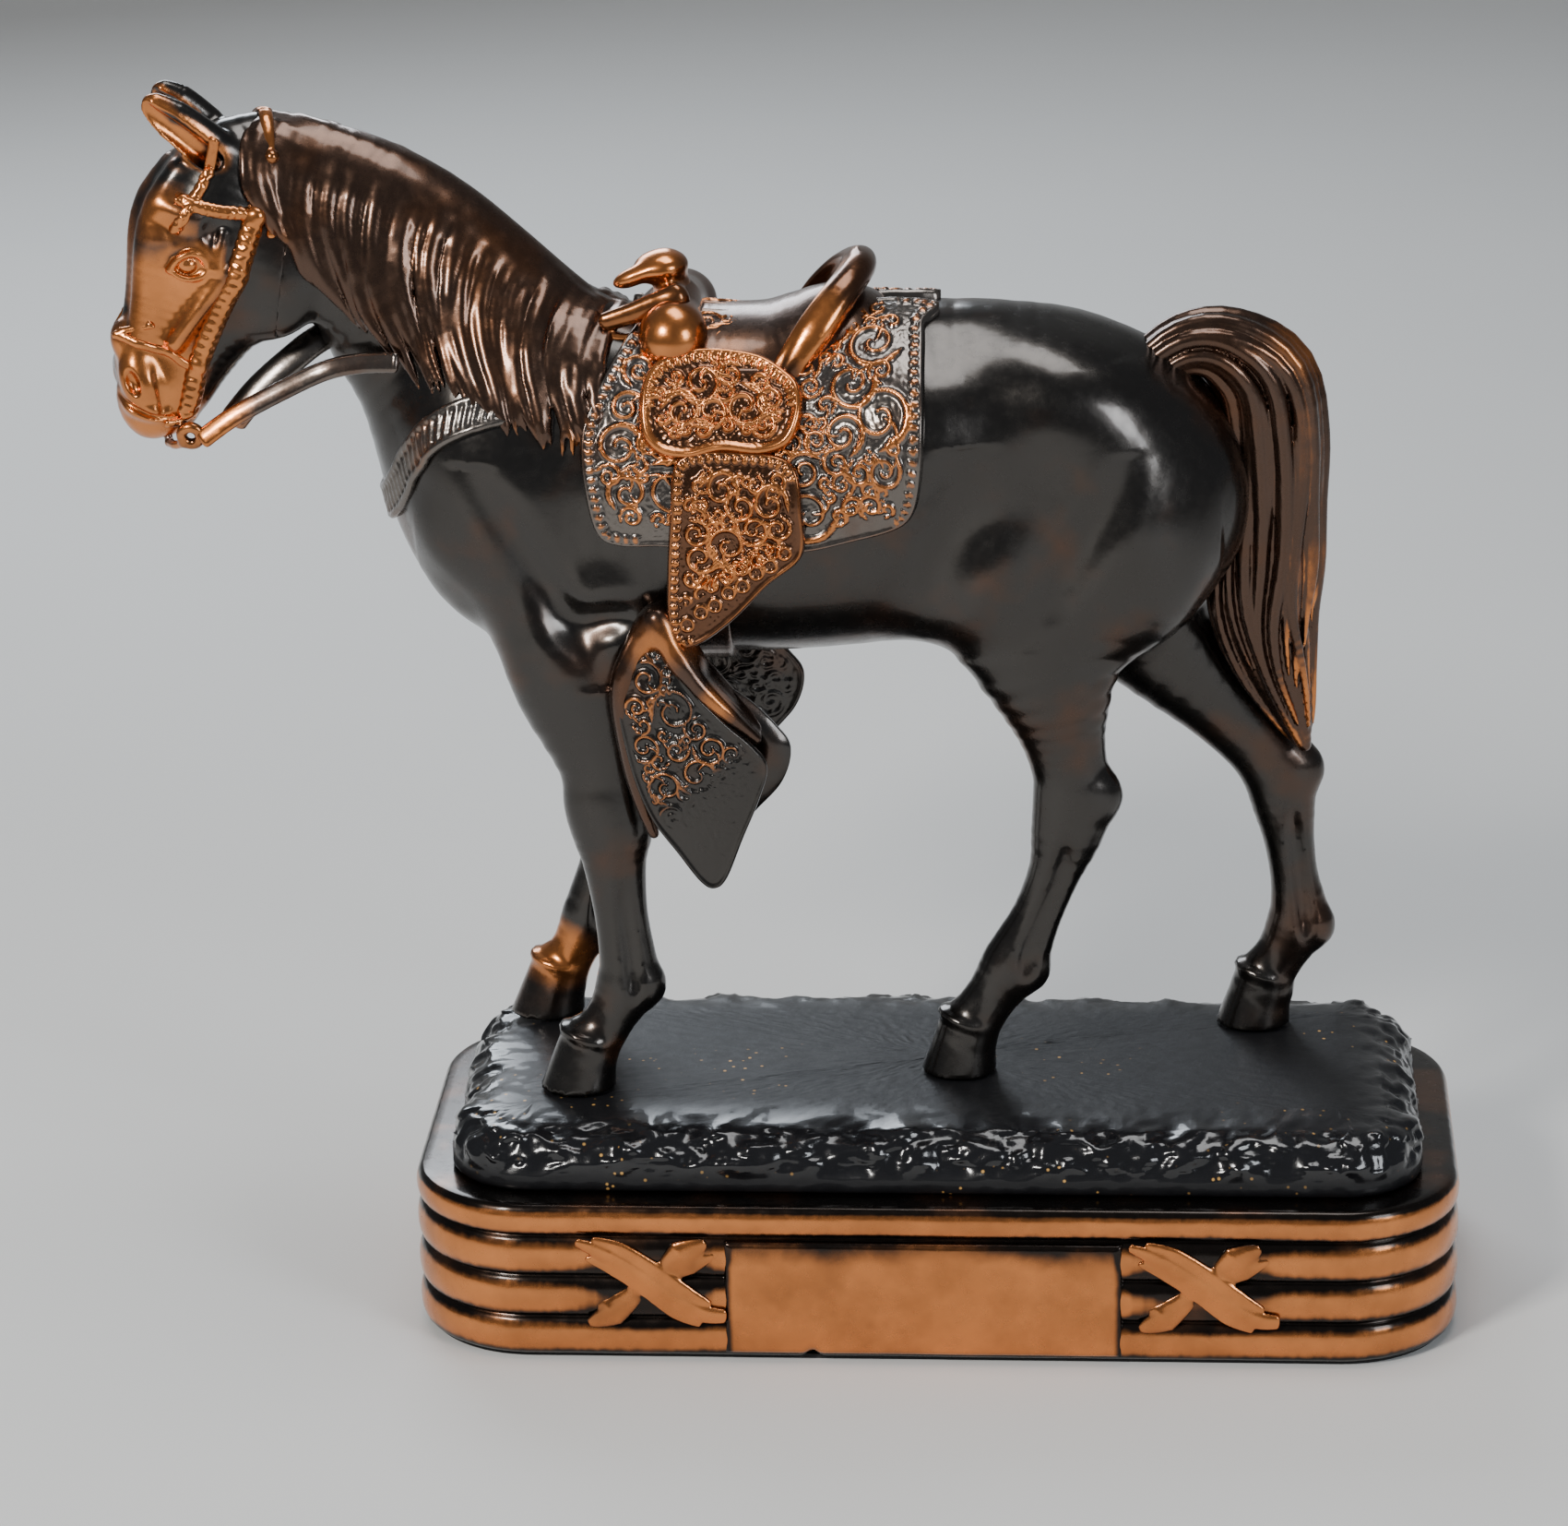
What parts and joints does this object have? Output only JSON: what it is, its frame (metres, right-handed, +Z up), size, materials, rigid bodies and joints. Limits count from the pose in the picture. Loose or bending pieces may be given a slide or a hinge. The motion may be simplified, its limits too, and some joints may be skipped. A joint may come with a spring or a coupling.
{
  "type": "saddle horse statuette",
  "caption": "Cast-metal western saddle horse with bridle, tooled saddle and hooded stirrups, standing on a reeded copper plinth with a rocky black top.",
  "frame": {"origin": "centre of the felt pad's underside, on the table", "axes": "+Z up; the horse faces -X; its near (left) side, which carries the front lashings, faces -Y"},
  "size_m": [0.2269, 0.0866, 0.2129],
  "materials": {
    "felt": "dark green felt",
    "steel_fixings": "zinc-plated steel",
    "plinth_copper": "bright copper plate, lacquered, dark in the grooves",
    "black_ground": "glossy black over rough casting",
    "dark_bronze": "dark bronze plate, glossy",
    "rubbed_copper": "copper plate rubbed bright",
    "worn_bronze": "dark bronze rubbed back to copper on the high places"
  },
  "bodies": {
    "root": {"felt_pad": "felt", "plinth": "plinth_copper", "front_panel": "plinth_copper", "back_panel": "plinth_copper", "front_left_lashing": "plinth_copper", "front_right_lashing": "plinth_copper", "back_left_lashing": "plinth_copper", "back_right_lashing": "plinth_copper", "ground": "black_ground", "hoof_studs": "steel_fixings", "stud_washers": "steel_fixings", "stud_nuts": "steel_fixings", "torso": "dark_bronze", "neck": "dark_bronze", "head": "rubbed_copper", "near_ear": "rubbed_copper", "far_ear": "rubbed_copper", "mane": "worn_bronze", "tail": "worn_bronze", "near_foreleg": "dark_bronze", "far_foreleg": "dark_bronze", "near_hind_leg": "dark_bronze", "far_hind_leg": "dark_bronze", "near_skirt": "worn_bronze", "far_skirt": "worn_bronze", "near_jockey": "rubbed_copper", "far_jockey": "rubbed_copper", "near_fender": "worn_bronze", "far_fender": "worn_bronze", "near_tapadero": "worn_bronze", "far_tapadero": "worn_bronze", "saddle_seat": "worn_bronze", "saddle_swell": "rubbed_copper", "saddle_horn": "rubbed_copper", "cantle": "rubbed_copper", "cinch": "dark_bronze", "breast_collar": "worn_bronze", "headstall": "rubbed_copper", "browband": "rubbed_copper", "noseband": "rubbed_copper", "bit": "rubbed_copper", "near_rein": "worn_bronze", "far_rein": "worn_bronze"}
  },
  "joints": []
}
